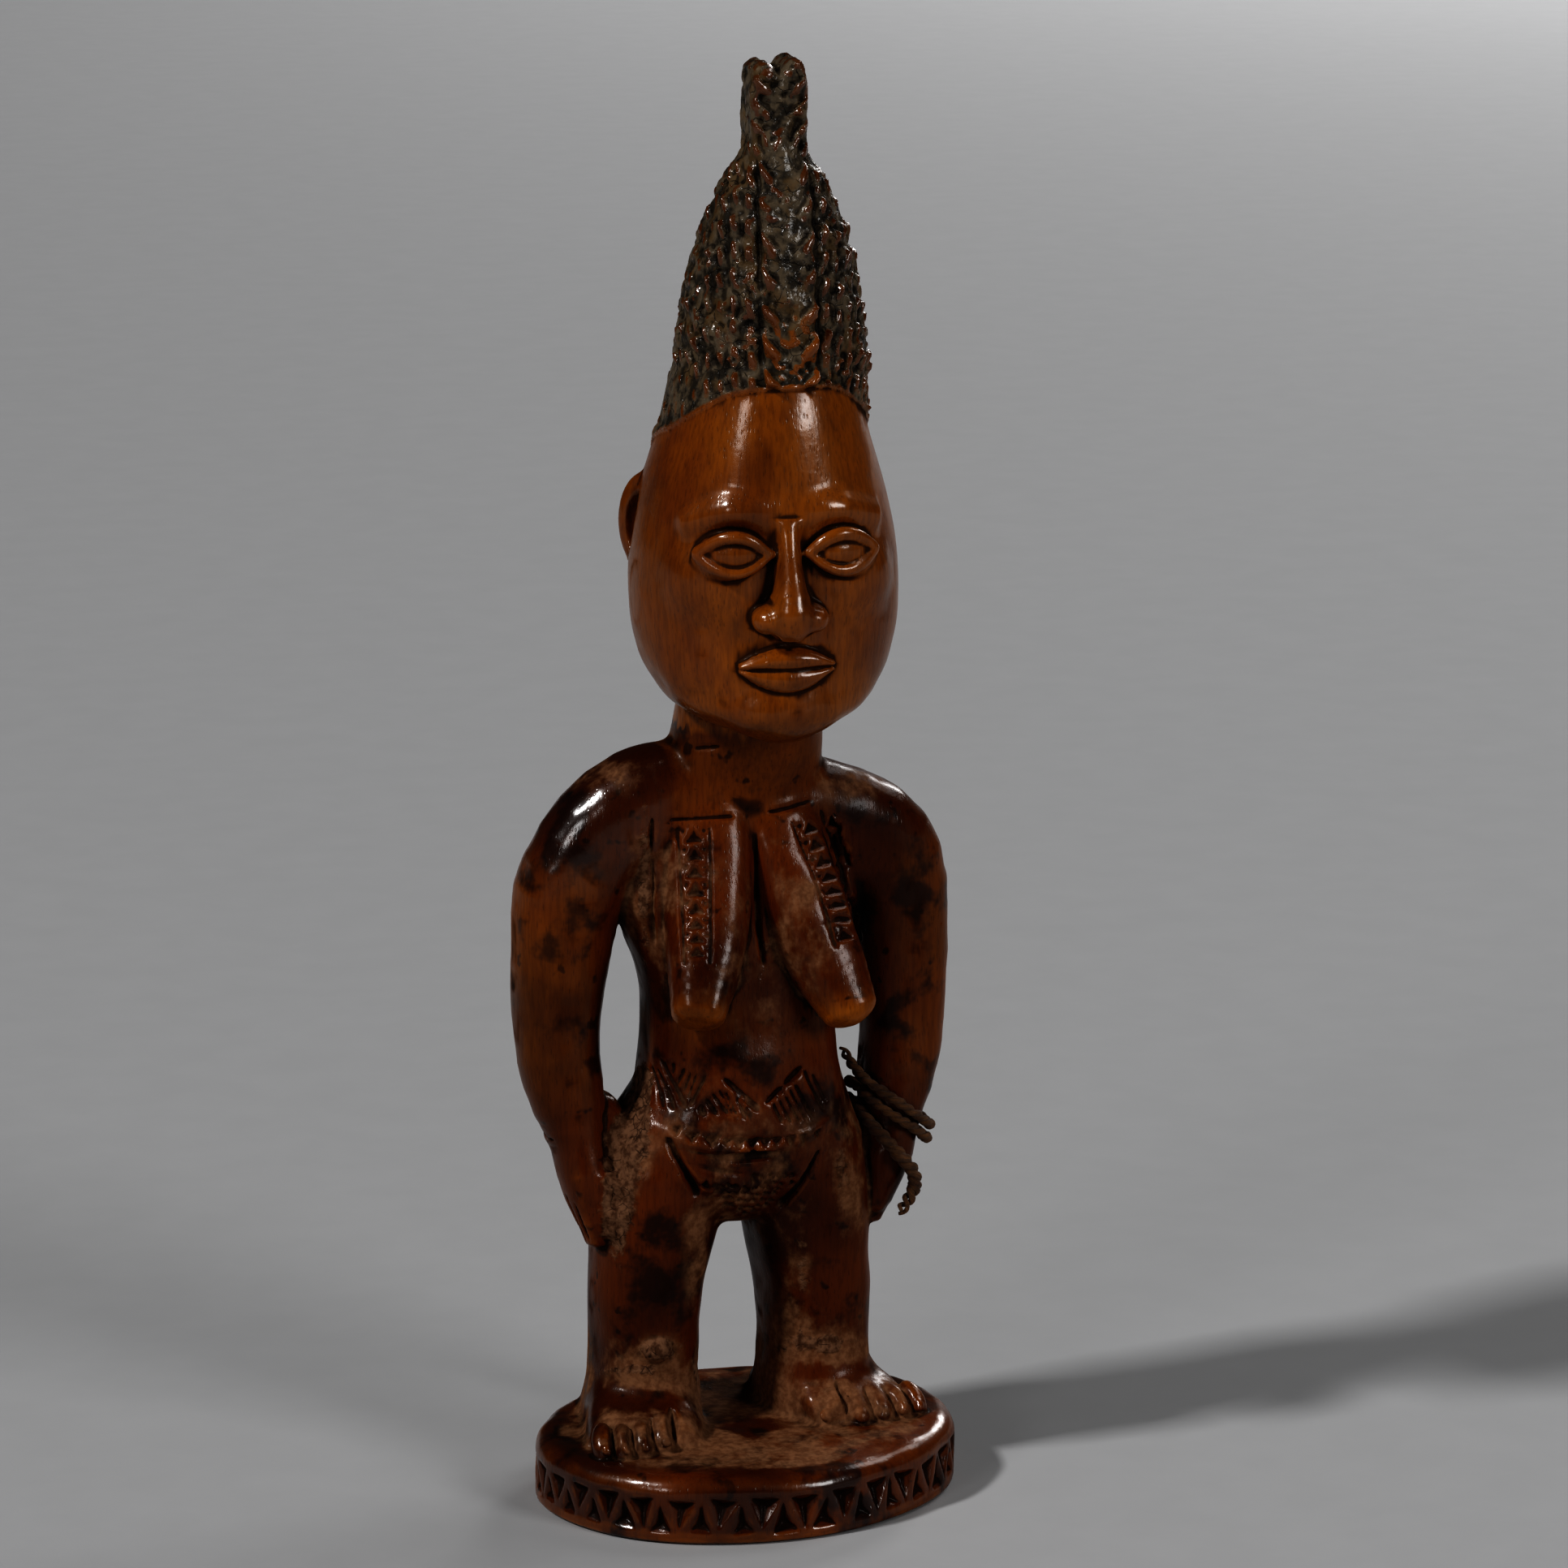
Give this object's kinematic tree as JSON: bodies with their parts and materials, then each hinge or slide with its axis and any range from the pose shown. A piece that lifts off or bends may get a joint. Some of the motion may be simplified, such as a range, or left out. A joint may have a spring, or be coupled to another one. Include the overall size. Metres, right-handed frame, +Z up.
{
  "type": "carved standing figure",
  "caption": "Carved wooden standing female twin figure with a tall knobbed coiffure, on a round notched base, with a loose fibre cord at the left wrist.",
  "frame": {"origin": "middle of the flat underside of the round base", "axes": "+Z up; the figure faces -Y and its own left side is +X"},
  "size_m": [0.0875, 0.0723, 0.28],
  "materials": {
    "wood": "dark reddish brown, handled to a gloss, with dusty crust in the recesses",
    "fibre": "two-ply brown plant fibre cord, matt, with frayed ends"
  },
  "bodies": {
    "root": {"figure": "wood", "wrist_cord": "fibre"}
  },
  "joints": []
}
